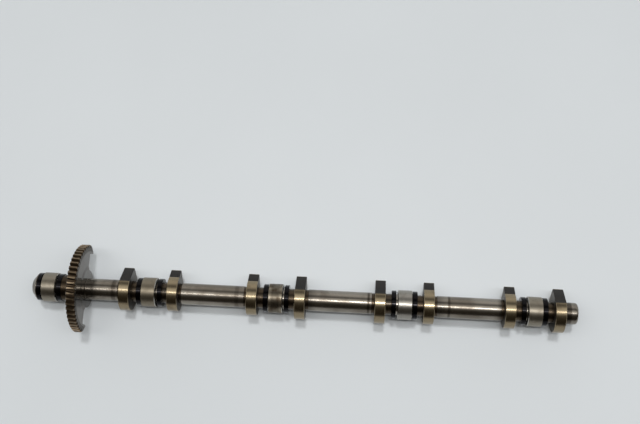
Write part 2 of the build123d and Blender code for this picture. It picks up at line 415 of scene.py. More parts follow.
def maths(tree, operation, *inputs):
    """The result of a math node, whose inputs are numbers or sockets."""
    return node(tree, "Math", dict(enumerate(inputs)), operation=operation).outputs[0]


def smooth_step(tree, value, low, high):
    """A smooth step from 0, where the value is at low, to 1, where it is at high."""
    inputs = {"Value": value, "From Min": low, "From Max": high}
    return node(tree, "MapRange", inputs, interpolation_type="SMOOTHSTEP").outputs["Result"]


def between(tree, share, low, high):
    """The value at a share of the way from low to high."""
    inputs = {"Value": share, "To Min": low, "To Max": high}
    return node(tree, "MapRange", inputs).outputs["Result"]


def mix_colour(tree, factor, under, over):
    """Blend two colours by a factor; each may be a colour or a socket."""
    inputs = {0: factor, 6: under, 7: over}  # the sockets that this node uses for colours
    return node(tree, "Mix", inputs, data_type="RGBA").outputs[2]


def rgba(shade, gain=1.0):
    """A property's colour as four numbers, made lighter or darker by a gain."""
    return (shade[0] * gain, shade[1] * gain, shade[2] * gain, 1.0)


def streaked(tree, marks, shade):
    """A colour made a little darker and lighter by the grinding marks."""
    dark, light = STREAK
    return mix_colour(tree, marks, rgba(shade, dark), rgba(shade, light))


def grinding_marks(tree, place, inputs):
    """Fine rings left by the grinding wheel: noise that runs fast along X and slowly round."""
    along, turned = inputs["Along"], inputs["Round"]
    scale = node(tree, "CombineXYZ", {"X": along, "Y": turned, "Z": turned})
    factors = {0: place, 1: scale.outputs[0]}
    stretched = node(tree, "VectorMath", factors, operation="MULTIPLY")
    return node(tree, "TexNoise", {"Vector": stretched.outputs[0], **GRAIN}).outputs["Fac"]


def patches(tree, place, inputs):
    """Soft-edged patches, such as stains: noise cut at a level set by the coverage."""
    noise = {"Vector": place, "W": inputs["Seed"], "Scale": inputs["Size"], **CLOUD}
    cloud = node(tree, "TexNoise", noise, noise_dimensions="4D").outputs["Fac"]
    level = maths(tree, "SUBTRACT", CLOUD_TOP, inputs["Coverage"])
    top = maths(tree, "ADD", level, inputs["Softness"])
    return smooth_step(tree, cloud, level, top)


def band(tree, place, inputs):
    """A ring that reaches equally far to both sides of a place along X, with soft edges."""
    along = node(tree, "SeparateXYZ", {0: place}).outputs["X"]
    off = maths(tree, "SUBTRACT", along, inputs["Place"])
    distance = maths(tree, "ABSOLUTE", off)
    end = maths(tree, "ADD", inputs["Reach"], inputs["Softness"])
    return smooth_step(tree, distance, end, inputs["Reach"])


def zone(tree, place, inputs):
    """Everything further than a radius from the shaft's axis, with a soft edge."""
    flat = node(tree, "VectorMath", {0: place, 1: (0, 1, 1)}, operation="MULTIPLY")
    distance = node(tree, "VectorMath", {0: flat.outputs[0]}, operation="LENGTH")
    end = maths(tree, "ADD", inputs["Radius"], inputs["Softness"])
    return smooth_step(tree, distance.outputs["Value"], inputs["Radius"], end)


# node groups that the finishes share: each one's nodes, its output and its inputs
EFFECTS = {
    "grinding_marks": (grinding_marks, "Marks", {"Along": 6000.0, "Round": 90.0}),
    "patches": (
        patches, "Patches", {"Size": 120.0, "Coverage": 0.4, "Softness": 0.15, "Seed": 0.0}
    ),
    "band": (band, "Band", {"Place": 0.0, "Reach": 0.001, "Softness": 0.0004}),
    "zone": (zone, "Zone", {"Radius": 0.01, "Softness": 0.001}),
}


def build_effects():
    """Build the node groups, each from the object's coordinates and its own inputs."""
    for name, (effect_nodes, output, inputs) in EFFECTS.items():
        group = bpy.data.node_groups.new(name, "ShaderNodeTree")
        for socket, value in inputs.items():
            made = group.interface.new_socket(socket, in_out="INPUT", socket_type=NUMBER)
            made.default_value = value
        group.interface.new_socket(output, in_out="OUTPUT", socket_type=NUMBER)
        entry = group.nodes.new("NodeGroupInput")
        place = node(group, "TexCoord", {}).outputs["Object"]
        result = effect_nodes(group, place, entry.outputs)
        leaving = group.nodes.new("NodeGroupOutput")
        leaving.location.x = NODE_SPACING * len(group.nodes)
        group.links.new(result, leaving.inputs[output])


def effect(tree, name, **inputs):
    """The output of a node group placed in a material with its own values."""
    made = node(tree, "Group", {}, node_tree=bpy.data.node_groups[name])
    for socket, value in inputs.items():
        made.inputs[socket].default_value = value
    return made.outputs[0]


def new_material(name):
    """A new material, its node tree and the inputs of its Principled BSDF."""
    material = bpy.data.materials.new(name)
    material.use_nodes = True
    tree = material.node_tree
    return material, tree, tree.nodes["Principled BSDF"].inputs


def steel(
    name, shade, roughness, marks, stain, rings=(), metallic=1.0, depth=1.0, gloss=0.5, beyond=None
):
    """A steel finish: grinding marks, patches of baked oil and dark rings on bare metal.

    shade is the bare metal; roughness is (least, most), between which the marks run; marks
    are (along, round) per metre; stain is (size, coverage, strength, seed); each ring is
    (place, reach to either side, softness, strength). Beyond a radius there may be another
    finish: (radius, softness, shade, metallic, roughness)."""
    oil = bpy.context.scene.camshaft_finishes.old_oil
    material, tree, surface = new_material(name)
    ground = effect(tree, "grinding_marks", Along=marks[0], Round=marks[1])
    size, coverage, strength, seed = stain
    patch = effect(tree, "patches", Size=size, Coverage=coverage, Seed=seed)
    faded = maths(tree, "MULTIPLY", patch, strength)
    bare = streaked(tree, ground, shade)
    coloured = mix_colour(tree, faded, bare, rgba(oil))
    for place, reach, softness, strength in rings:
        ring = effect(tree, "band", Place=place * MM, Reach=reach * MM, Softness=softness * MM)
        weak = maths(tree, "MULTIPLY", ring, strength)
        coloured = mix_colour(tree, weak, coloured, rgba(oil, RING_SHADE))
    rough = between(tree, ground, *roughness)
    rough = maths(tree, "MULTIPLY_ADD", faded, OIL_ROUGHNESS, rough)
    if beyond:
        radius, softness, far_shade, far_metallic, far_roughness = beyond
        outside = effect(tree, "zone", Radius=radius * MM, Softness=softness * MM)
        far = streaked(tree, ground, far_shade)
        coloured = mix_colour(tree, outside, coloured, far)
        metal = between(tree, outside, metallic, far_metallic)
        tree.links.new(metal, surface["Metallic"])
        change = far_roughness - roughness[0]
        rough = maths(tree, "MULTIPLY_ADD", outside, change, rough)
    else:
        surface["Metallic"].default_value = metallic
    bump = {"Height": ground, "Strength": BUMP * depth, "Distance": BUMP_HEIGHT}
    tree.links.new(coloured, surface["Base Color"])
    tree.links.new(rough, surface["Roughness"])
    tree.links.new(node(tree, "Bump", bump).outputs["Normal"], surface["Normal"])
    surface["Specular IOR Level"].default_value = gloss
    return material


# ------------------------------------------------------------------------- turned shaft

AROUND_SHAFT = 144  # points round the turned shaft
GROUND, NECK, BLACK, JOURNAL, MILLED = range(5)  # its materials, in order
END_CORNERS = (3, 2)  # corner points of its left end and of its right end

# dark rings round the plain lengths: place, reach to either side and softness in mm, and
# strength. Most are baked oil; the two next to the wheel are painted shade.
SHAFT_RINGS = (
    (-77.5, 2.0, 1.0, 0.30),
    # painted shade: the plain shaft darkened beside the wheel, standing in for the wheel's dark
    # reflection in it
    (-44.0, 3.0, 9.0, 0.25),
    # painted shade in the fillet at the wheel's root, dimming the glint there
    (-42.6, 0.4, 0.3, 0.50),
    (-24.7, 0.5, 0.6, 0.55),
    (-23.4, 0.4, 0.5, 0.45),
    (58.0, 0.9, 0.9, 0.40),
    (103.5, 2.0, 6.0, 0.55),
    (144.6, 0.5, 0.5, 0.70),
    (187.5, 2.0, 7.0, 0.50),
    (197.0, 0.5, 0.6, 0.65),
    (232.0, 1.5, 3.0, 0.55),
    (274.0, 1.2, 1.2, 0.75),
    (279.0, 1.5, 2.5, 0.25),
)
NECK_RINGS = ((-54.0, 6.0, 1.5, 0.45),)


def journal_places(shaft):
    """Middles of the five journals along X, from the worm end."""
    cylinders = shaft.cylinder_pitch * np.arange(BEARING_COUNT - 1)
    return np.concatenate([[-shaft.worm_end_span], cylinders])


def shaft_lengths(shaft, cams, wheel):
    """The turned lengths from left to right, each (end, radius, finish, rounding), where
    rounding is that of the corner at which the length starts."""
    places = journal_places(shaft)
    half = shaft.journal_width / 2
    collar = half + shaft.collar_width
    fine, chamfer = shaft.edge_break, shaft.collar_chamfer
    half_wheel, half_cam = wheel.wheel_width / 2, cams.cam_width / 2
    inner = (cams.cam_spacing - cams.cam_width) / 2
    outer = (cams.cam_spacing + cams.cam_width) / 2
    plain, relief = shaft.shaft_diameter / 2, shaft.relief_diameter / 2
    neck, collar_radius = shaft.neck_diameter / 2, shaft.collar_diameter / 2

    def journal_lengths(middle):
        """Collar, journal and collar of one bearing."""
        return [
            (middle - half, collar_radius, BLACK, chamfer),
            (middle + half, shaft.journal_diameter / 2, JOURNAL, fine),
            (middle + collar, collar_radius, BLACK, chamfer),
        ]

    lengths = journal_lengths(places[0]) + [
        (wheel.station - half_wheel, shaft.boss_diameter / 2, NECK, fine),
        (wheel.station + half_wheel, wheel.hub_diameter / 2, MILLED, shaft.boss_rounding),
    ]
    for middle in places[1:]:
        plain_rounding = shaft.root_rounding if middle == places[1] else fine
        lengths += [
            (middle - outer - shaft.relief_width, plain, GROUND, plain_rounding),
            (middle - inner - half_cam, relief, NECK, fine),
            (middle - collar, neck, NECK, fine),
            *journal_lengths(middle),
            (middle + inner + half_cam, neck, NECK, fine),
            (middle + outer + shaft.relief_width, relief, NECK, fine),
        ]
    lengths[-1] = (places[-1] + outer + shaft.stub_relief_width, relief, NECK, fine)
    lengths.append((places[-1] + outer + shaft.stub_length, plain, GROUND, fine))
    return lengths


def shaft_profile(shaft, cams, wheel):
    """The shaft's profile (x, r) from axis to axis, and each of its rows' finish.

    Every length gives two corner points. Where it ends, the corner has the smaller rounding
    of the two lengths, but a deep fillet of the next length is kept. A row has the finish of
    the corner further from the axis, and the left end that of the plain lengths."""
    ends, radii, finish, starts_with = map(np.array, zip(*shaft_lengths(shaft, cams, wheel)))
    left = journal_places(shaft)[0] - shaft.journal_width / 2 - shaft.collar_width
    tip = left - shaft.taper_length
    hole = shaft.centre_hole_diameter / 2
    depth = hole / tan(shaft.centre_hole_angle / 2)
    starts = np.concatenate([[tip + shaft.taper_length], ends[:-1]])
    here, after = starts_with[:-1], starts_with[1:]
    ends_with = np.where(after > shaft.collar_chamfer, after, np.minimum(here, after))
    ends_with = np.append(ends_with, shaft.stub_rounding)
    corners = np.concatenate(
        [
            [[tip + depth, 0], [tip, hole], [tip, shaft.taper_diameter / 2]],
            np.stack([starts, radii, ends, radii], axis=-1).reshape(-1, 2),
            [[ends[-1], hole], [ends[-1] - depth, 0]],
        ]
    )
    rounding = np.stack([starts_with, ends_with], axis=-1).ravel()
    rounding = np.pad(rounding, END_CORNERS, constant_values=shaft.edge_break)
    finish = np.pad(np.repeat(finish, 2), END_CORNERS, constant_values=GROUND)
    profile, owner = rounded_profile(corners, rounding)
    near, far = owner[:-1], owner[1:]
    row_finish = np.where(corners[near, 1] >= corners[far, 1], finish[near], finish[far])
    row_finish[corners[far, 0] <= starts[0]] = GROUND
    return profile, row_finish


class CAMSHAFT_OT_turned_shaft(bpy.types.Operator):
    """Turn the shaft with its journals, collars, necks, reliefs, boss and ends"""

    bl_idname = "camshaft.turned_shaft"
    bl_label = "Turned Shaft"

    def execute(self, context):
        scene, tones = context.scene, context.scene.camshaft_finishes
        materials = [
            steel(
                "ground_shaft", tones.shaft_steel, roughness=(0.18, 0.23), marks=(5200, 60),
                stain=(45, 0.30, 0.45, 2.0), rings=SHAFT_RINGS, depth=0.4,
            ),
            steel(
                "dark_necks", tones.neck_steel, roughness=(0.16, 0.24), marks=(6500, 70),
                stain=(90, 0.40, 0.60, 5.0), rings=NECK_RINGS,
            ),
            steel(
                "black_collars", tones.black_steel, roughness=(0.09, 0.14), marks=(3000, 60),
                stain=(200, 0.20, 0.05, 8.0), depth=0.3,
            ),
            steel(
                "journals", tones.shaft_steel, roughness=(0.12, 0.18), marks=(7000, 50),
                stain=(60, 0.20, 0.30, 3.0),
            ),
            steel("milled_hub", tones.web_steel, **MILLED_WEB),
        ]
        profile, row_finish = shaft_profile(
            scene.camshaft_shaft, scene.camshaft_cams, scene.camshaft_wheel
        )
        surface = revolve_profile(profile, AROUND_SHAFT, row_finish)
        add_piece("turned_shaft", surface, materials, SHAFT_NODE, "shaft_steel", SHAFT_NODE)
        return {"FINISHED"}


# --------------------------------------------------------------------------------- cams

FLAT_ROWS = 3  # rows of a cam's outline that run along the unground flat
BASE_POINTS, NOSE_POINTS = 150, 15  # points round the base circle and the nose
CLOSE = 0.002  # share of a stretch between its end and the point that keeps its shading
SUPPORT_SHARE = 0.1  # from a chamfer's edge to the point that keeps its shading, in chamfers
SIDE_ROWS = 2  # rows from the bore out to the chamfer
BORE_DEPTH = 0.5 * MM  # a cam's ring reaches this far into the shaft


def cam_outline(base_diameter, flat_end, cams):
    """Outline (y, z) of a cam and, for each point, whether the unground flat follows it.

    Base circle from the flat's end round to the lower flank, the flank as the common
    tangent of base and nose circles, the nose arc, and the flat back to the base circle."""
    base, nose_radius = base_diameter / 2, cams.nose_radius
    nose_centre = cams.nose_reach - nose_radius
    flank = acos((base - nose_radius) / nose_centre)
    across = base * cos(flat_end) - nose_centre
    up = base * sin(flat_end)
    flat = atan2(up, across) - acos(nose_radius / hypot(across, up))
    sweep = np.concatenate([[0, CLOSE], np.linspace(5 * CLOSE, 1 - CLOSE, BASE_POINTS), [1]])
    base_angle = flat_end + (2 * pi - flat_end - flank) * sweep
    base_arc = base * np.stack([np.cos(base_angle), np.sin(base_angle)], axis=-1)
    nose_angle = np.linspace(-flank, flat, NOSE_POINTS)
    nose_arc = nose_radius * np.stack([np.cos(nose_angle), np.sin(nose_angle)], axis=-1)
    nose_arc = nose_arc + [nose_centre, 0]
    share = np.array([10 * CLOSE, 1 - 10 * CLOSE])[:, None]
    lower = base_arc[-1] * (1 - share) + nose_arc[0] * share
    upper = nose_arc[-1] * (1 - share) + base_arc[0] * share
    outline = np.concatenate([base_arc, lower, nose_arc, upper])
    return outline, np.arange(len(outline)) >= len(outline) - FLAT_ROWS


def cam_surface(outline, flat_follows, start, bore, cams):
    """A cam: its outline carried along X through a closed section loop.

    The loop is bore, side, chamfer, ground face, chamfer, side and bore; on the sides the
    outline is drawn in by the chamfer along its own normal. The finish is the ground face's,
    the unground flat's or the sides'."""
    ahead = np.roll(outline, -1, axis=0) - np.roll(outline, 1, axis=0)
    normal = np.stack([ahead[:, 1], -ahead[:, 0]], axis=-1)
    normal /= np.hypot(*normal.T)[:, None]
    chamfer = cams.edge_chamfer
    support = SUPPORT_SHARE * chamfer
    inner = bore * outline / np.hypot(*outline.T)[:, None]
    drawn_in = outline - chamfer * normal
    end = start + cams.cam_width
    section = [
        (start, inner),
        (start, drawn_in - support * normal),
        (start, drawn_in),
        (start + chamfer, outline),
        (start + chamfer + support, outline),
        (end - chamfer - support, outline),
        (end - chamfer, outline),
        (end, drawn_in),
        (end, drawn_in - support * normal),
        (end, inner),
    ]
    loops = np.stack([np.insert(ring, 0, x, axis=1) for x, ring in section])
    faces = grid_faces(len(section), len(outline), rows_close=True, columns_close=True)
    row = np.arange(len(section))[:, None]
    last_side = len(section) - 1 - SIDE_ROWS  # the last row of all is the bore
    on_side = (row < SIDE_ROWS) | (row >= last_side)
    face, flat, side = range(3)
    finish = np.where(on_side, side, np.where(flat_follows, flat, face))
    return loops.reshape(-1, 3), faces, finish.ravel()


class CAMSHAFT_OT_cams(bpy.types.Operator):
    """Grind the high and the low cam of each cylinder"""

    bl_idname = "camshaft.cams"
    bl_label = "Cams"

    def execute(self, context):
        scene = context.scene
        shaft, cams, tones = scene.camshaft_shaft, scene.camshaft_cams, scene.camshaft_finishes
        high = cam_outline(cams.high_base_diameter, cams.high_flat_end, cams)
        low = cam_outline(cams.low_base_diameter, cams.low_flat_end, cams)
        # between 9 and 15 mm from the axis the flats turn lighter: their darker colour nearer the
        # shaft is partly baked oil and partly painted shade
        raw_nose = (9.0, 6.0, tones.raw_nose, 0.0, 0.44)
        materials = [
            steel(
                "ground_cams", tones.cam_steel, roughness=(0.16, 0.22), marks=(5200, 50),
                stain=(110, 0.22, 0.35, 11.0), depth=0.5,
            ),
            steel(
                "raw_flats", tones.raw_flat_shaded, roughness=(0.48, 0.66), marks=(900, 900),
                stain=(300, 0.30, 0.12, 12.0), metallic=0.0, depth=2.0, gloss=0.2, beyond=raw_nose,
            ),
            steel(
                "cam_sides", tones.cam_side, roughness=(0.34, 0.50), marks=(700, 700),
                stain=(140, 0.30, 0.30, 13.0),
            ),
        ]
        bore = shaft.neck_diameter / 2 - BORE_DEPTH
        number = 0
        for cylinder, middle in enumerate(journal_places(shaft)[1:]):
            order = (high, low) if cylinder % 2 == 0 else (low, high)
            for side, outline in zip((-1, 1), order):
                number += 1
                start = middle + side * cams.cam_spacing / 2 - cams.cam_width / 2
                surface = cam_surface(*outline, start, bore, cams)
                add_piece(
                    f"cam_{number}", surface, materials, SHAFT_NODE, "shaft_steel", SHAFT_NODE
                )
        return {"FINISHED"}


# --------------------------------------------------------------------------- worm wheel

THROAT_REACH = 1.8 * MM  # to either side, where the teeth follow the worm's curve
THROAT_POINTS = 5  # from its middle to its edge
DEDENDUM = 1.25  # depth of a tooth below the pitch line, in modules
FLANK_POINTS, FLOOR_POINTS, LAND_POINTS = 6, 5, 6  # across a flank, a gap's floor and a land
HOOK_COLUMNS = 8  # columns that bend to the outline of each hook
SIDE_SHARES = (0.3, 0.6, 0.93, 1.0)  # places of the rows down a side of the rim
WEB_SLOPE = 1.4 * MM  # from the full-width ring down to the recess
WEB_SUNK = 0.3 * MM  # the web's edges reach this far into the hub and the rim
WEB_COLUMNS = 97
HUB_POINTS, RECESS_POINTS, FILLET_POINTS = 5, 14, 7  # points out along the web's lengths
TEETH, SIDES = range(2)  # materials of the rim, in order


def wheel_placed(reach, turn, along, wheel):
    """Polar places on the wheel into the part's: leaned about X and moved to the station.

    With across = reach cos turn and up = reach sin turn, y = across cos lean + up sin lean
    and z = up cos lean - across sin lean."""
    across, up = reach * np.cos(turn), reach * np.sin(turn)
    lean_cos, lean_sin = cos(wheel.lean), sin(wheel.lean)
    y = across * lean_cos + up * lean_sin
    z = up * lean_cos - across * lean_sin
    return np.stack(np.broadcast_arrays(along + wheel.station, y, z), axis=-1)


def worm_distance(wheel):
    """From the wheel's axis to the worm's, with the pitch circles touching."""
    return wheel.tooth_module * wheel.full_teeth / 2 + wheel.worm_pitch_diameter / 2


def tip_radius(along, wheel):
    """Radius over the teeth at a place across the rim: the outside diameter, dipped by the
    worm's throat in the middle and chamfered at both edges."""
    throat = wheel.worm_pitch_diameter / 2 - wheel.tooth_module
    throated = worm_distance(wheel) - np.sqrt(np.maximum(throat**2 - along**2, 0))
    past_chamfer = np.abs(along) - (wheel.wheel_width / 2 - wheel.edge_chamfer)
    chamfered = wheel.outer_diameter / 2 - past_chamfer.clip(0)
    return np.minimum(np.minimum(throated, wheel.outer_diameter / 2), chamfered)


def tooth_gap_grid(along, wheel):
    """One gap between teeth as radius and tangent, a row for each place along X.

    Each column is a place on the worm thread's section: at distance rho from the worm's
    axis its half width grows by tan(pressure angle) per step outwards. The thread leans by
    the lead angle, so x' = (x + t' sin) / cos and t = t' cos + x' sin."""
    distance = worm_distance(wheel)
    deep = wheel.worm_pitch_diameter / 2 + DEDENDUM * wheel.tooth_module
    slope = tan(wheel.pressure_angle)
    root_half = pi * wheel.tooth_module / 4 - DEDENDUM * wheel.tooth_module * slope
    rho_tip = np.sqrt((distance - tip_radius(along, wheel)) ** 2 + along**2)[:, None]
    rho_flank = rho_tip + (deep - rho_tip) * np.linspace(0, 1, FLANK_POINTS)[None, :]
    half = root_half + (deep - rho_flank) * slope
    floor_half = root_half * np.linspace(-1, 1, FLOOR_POINTS)[None, 1:-1] + 0 * rho_tip
    rho = np.concatenate([rho_flank, deep + 0 * floor_half, rho_flank[:, ::-1]], axis=1)
    turned = np.concatenate([-half, floor_half, half[:, ::-1]], axis=1)
    lead_cos, lead_sin = cos(wheel.lead_angle), sin(wheel.lead_angle)
    turned_x = (along[:, None] + turned * lead_sin) / lead_cos
    return distance - np.sqrt(rho**2 - turned_x**2), turned * lead_cos + turned_x * lead_sin


def toothed_face(along, wheel):
    """The face over the teeth as angle and reach, a row for each place along X.

    The gap is copied at every tooth's angle, and a land joins one gap's last point to the
    next gap's first, raised by the tip crown times 1 - (2 share - 1)^2."""
    radius, tangent = tooth_gap_grid(along, wheel)
    tooth_angle = 2 * pi / wheel.full_teeth
    centres = pi / 2 + tooth_angle * (np.arange(wheel.gap_count) - (wheel.gap_count - 1) / 2)
    angles = np.arctan2(tangent, radius)[:, None, :] + centres[None, :, None]
    reach = np.hypot(radius, tangent)[:, None, :] + 0 * angles
    share = np.linspace(0, 1, LAND_POINTS)[None, None, 1:-1]
    first, last = angles[:, :, :1], angles[:, :, -1:]
    land = last + (first + tooth_angle - last) * share
    crown = wheel.tip_crown * (1 - (2 * share - 1) ** 2)
    tips = tip_radius(along, wheel)[:, None, None] + crown + 0 * land
    angles = np.concatenate([angles, land], axis=2).reshape(len(along), -1)
    reach = np.concatenate([reach, tips], axis=2).reshape(len(along), -1)
    return angles[:, : -land.shape[2]], reach[:, : -land.shape[2]]


def rim_surface(wheel):
    """The toothed rim: a closed section loop swept round the wheel's axis.

    The loop runs up one side, across the teeth and down the other side; at both ends the
    columns bend to the hooks' outline."""
    half_width, rim_inner = wheel.wheel_width / 2, wheel.rim_inner_diameter / 2
    chamfer_middle = half_width - wheel.edge_chamfer / 2
    edges = [half_width - wheel.edge_chamfer, chamfer_middle, half_width]
    right = np.concatenate([np.linspace(0, THROAT_REACH, THROAT_POINTS), edges])
    along = np.concatenate([right[::-1], -right[1:]])
    angles, reach = toothed_face(along, wheel)
    hook_reach = hypot(wheel.hook_tip_across, wheel.hook_tip_height)
    edge = tip_radius(right[-1:], wheel)[:, None]
    hook_share = ((edge - hook_reach) / (edge - rim_inner)).item()
    shares = np.array(sorted((*SIDE_SHARES, hook_share)))[:, None]

    def with_sides(face, near, far):
        """Rows over the teeth, with rows down to the rim's inside before and after them."""
        down = [top + (rim_inner - top) * shares for top in (near, far)]
        return np.concatenate([down[0][::-1], face, down[1]])

    rows = len(shares)
    reach = with_sides(reach, reach[:1], reach[-1:])
    angles = np.pad(angles, ((rows, rows), (0, 0)), mode="edge")
    x = np.pad(along, rows, mode="edge")[:, None]
    end_reach = with_sides(tip_radius(along, wheel)[:, None], edge, edge)
    hook = np.interp(
        end_reach,
        [rim_inner, hook_reach, wheel.outer_diameter / 2],
        [
            atan2(wheel.hook_inner_height, rim_inner),
            atan2(wheel.hook_tip_height, wheel.hook_tip_across),
            atan2(wheel.hook_outer_height, wheel.outer_diameter / 2),
        ],
    )
    fade = np.linspace(0, 1, HOOK_COLUMNS + 1)[None, :-1]
    first = hook + (angles[:, :1] - hook) * fade
    last = (pi - hook) + (angles[:, -1:] - (pi - hook)) * fade
    angles = np.concatenate([first, angles, last[:, ::-1]], axis=1)
    ends = np.repeat(end_reach, HOOK_COLUMNS, axis=1)
    loops = wheel_placed(np.concatenate([ends, reach, ends], axis=1), angles, x, wheel)
    row = np.arange(len(x))
    toothed = (row >= rows) & (row < len(x) - rows - 1)
    return capped_sweep(loops, np.where(toothed, TEETH, SIDES), SIDES)


def web_surface(wheel):
    """The web as a plate in polar form: at radius r its faces stand at half the rim's width
    near the hub and are recessed further out; it stops at the cut, with filleted corners."""
    hub, rim = wheel.hub_diameter / 2, wheel.rim_inner_diameter / 2
    shelf = hub + wheel.web_recess_margin
    fillet = wheel.corner_fillet
    radii = np.concatenate(
        [
            [hub - WEB_SUNK],
            np.linspace(hub, shelf, HUB_POINTS),
            np.linspace(shelf + WEB_SLOPE, rim - fillet, RECESS_POINTS),
            np.linspace(rim - fillet, rim, FILLET_POINTS)[1:],
            [rim + WEB_SUNK],
        ]
    )
    half_width = wheel.wheel_width / 2
    face = np.where(radii <= shelf, half_width, half_width - wheel.web_recess)
    to_wall = np.minimum(np.abs(radii - hub), np.abs(rim - radii)).clip(0, fillet)
    drop = fillet - np.sqrt(fillet**2 - (fillet - to_wall) ** 2)
    low = np.arcsin((wheel.cut_height - drop) / radii)
    reach, low = (np.concatenate([half, half[::-1]])[:, None] for half in (radii, low))
    x = np.concatenate([face, -face[::-1]])[:, None]
    angles = low + (pi - 2 * low) * np.linspace(0, 1, WEB_COLUMNS)[None, :]
    return capped_sweep(wheel_placed(reach, angles, x, wheel))


class CAMSHAFT_OT_worm_wheel(bpy.types.Operator):
    """Cut the throated worm-wheel sector: its toothed rim with hooked ends, and its web"""

    bl_idname = "camshaft.worm_wheel"
    bl_label = "Worm-Wheel Sector"

    def execute(self, context):
        wheel, tones = context.scene.camshaft_wheel, context.scene.camshaft_finishes
        polished_tips = (28.75, 0.4, tones.tooth_steel, 1.0, 0.26)
        oiled_rim = (24.6, 1.0, tones.rim_steel, 1.0, 0.30)
        teeth = steel(
            "cut_teeth", tones.gap_oil, roughness=(0.38, 0.54), marks=(2500, 900),
            stain=(260, 0.30, 0.40, 21.0), metallic=0.8, beyond=polished_tips,
        )
        web = steel("wheel_web", tones.web_steel, **MILLED_WEB, beyond=oiled_rim)
        pieces = {
            "worm_wheel_rim": (rim_surface(wheel), [teeth, web]),
            "worm_wheel_web": (web_surface(wheel), [web]),
        }
        for name, (surface, materials) in pieces.items():
            add_piece(name, surface, materials, SHAFT_NODE, "shaft_steel", SHAFT_NODE)
        return {"FINISHED"}


# ----------------------------------------------------------------------------- bearings

BEARING_TURN = tuple(radians(turned) for turned in (-4.0, -15.0, 0.0, 3.0, -6.0))

# each sleeve from the worm end: stain coverage and strength, straw tint, least roughness
# and the strength of the dark track round its middle
SLEEVE_OIL = (
    (0.25, 0.25, 0.65, 0.31, 0.00),
    (0.30, 0.20, 0.90, 0.32, 0.05),
    (0.34, 0.75, 0.80, 0.25, 0.50),
    # sleeve 4, untinted, takes the lighter bare colour: partly painted highlight for the brighter
    # light over it
    (0.20, 0.20, 0.00, 0.24, 0.00),
    (0.25, 0.25, 0.65, 0.29, 0.00),
)
TRACK = (1.8, 1.8)  # reach of that track to either side and its softness, in mm
SLEEVE_COLUMNS = 73
SLIGHT = 0.01 * MM  # between two points that make a step
NEEDLE_ROUNDING = 0.15 * MM
NEEDLE_SIDES = 20
RUNNING_CLEARANCE = 0.05 * MM  # between a needle and the raceway
# the second, on the chamfers, is lighter and glossier than the sleeve: a painted highlight on the
# rims
SATIN, PAINTED_RIM = range(2)  # materials of a sleeve, in order


def bearing_middle(number):
    """Middle of a bearing's sleeve along X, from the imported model."""
    low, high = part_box(f"bearing_{number}_lower_shell")
    return (low.x + high.x) / 2


def sleeve_surface(sizes, middle, turn, is_upper):
    """Half of a split sleeve: a chamfered wall section swept half a turn about X.

    The sweep starts and ends where the split lies at each place along X: level, but raised
    by the key's height over the key's width, and by the gap on the upper half."""
    half, chamfer = sizes.shell_width / 2, sizes.shell_chamfer
    outer, inner = sizes.shell_diameter / 2, sizes.raceway_diameter / 2
    growth = sizes.split_gap if is_upper else 0.0
    key = sizes.split_key_width / 2 + growth
    chamfer_start = half - chamfer
    right = np.array(
        [0, key - SLIGHT, key + SLIGHT, chamfer_start - 4 * SLIGHT, chamfer_start, half]
    )
    x = np.concatenate([-right[:0:-1], right])
    outside = np.where(np.abs(x) >= half - SLIGHT, outer - chamfer, outer)
    reach = np.concatenate([outside, np.full(len(x), inner)])[:, None]
    along = np.concatenate([x, x[::-1]])[:, None]
    raised = np.where(np.abs(along) < key, sizes.split_key_height + growth, growth)
    split = np.arcsin(raised / reach)
    sweep = pi - 2 * split if is_upper else -(pi + 2 * split)
    angles = split + sweep * np.linspace(0, 1, SLEEVE_COLUMNS)[None, :] + turn
    row_finish = np.full(len(along), SATIN)
    row_finish[[0, len(x) - 2]] = PAINTED_RIM  # the two chamfers
    return capped_sweep(around_x(along + middle, reach, angles), row_finish, SATIN)


def needle_ring(sizes, middle, turn):
    """All needles of one bearing: one crowned roller turned about its own axis, copied round
    the pitch circle at equal angles."""
    radius, half = sizes.needle_diameter / 2, sizes.needle_length / 2
    corners = np.array([[-half, 0], [-half, radius], [half, radius], [half, 0]])
    profile, _ = rounded_profile(corners, np.full(len(corners), NEEDLE_ROUNDING), steps=3)
    points, faces, finish = revolve_profile(profile, NEEDLE_SIDES)
    numbers = np.arange(sizes.needle_count)
    places = turn + 2 * pi / sizes.needle_count * (numbers + 0.5)
    circle = (sizes.raceway_diameter - sizes.needle_diameter) / 2 - RUNNING_CLEARANCE
    shift = around_x(middle, circle, places)[:, None]
    starts = len(points) * numbers[:, None, None]
    faces = (faces[None] + starts).reshape(-1, 4)
    return (points[None] + shift).reshape(-1, 3), faces, np.tile(finish, len(numbers))


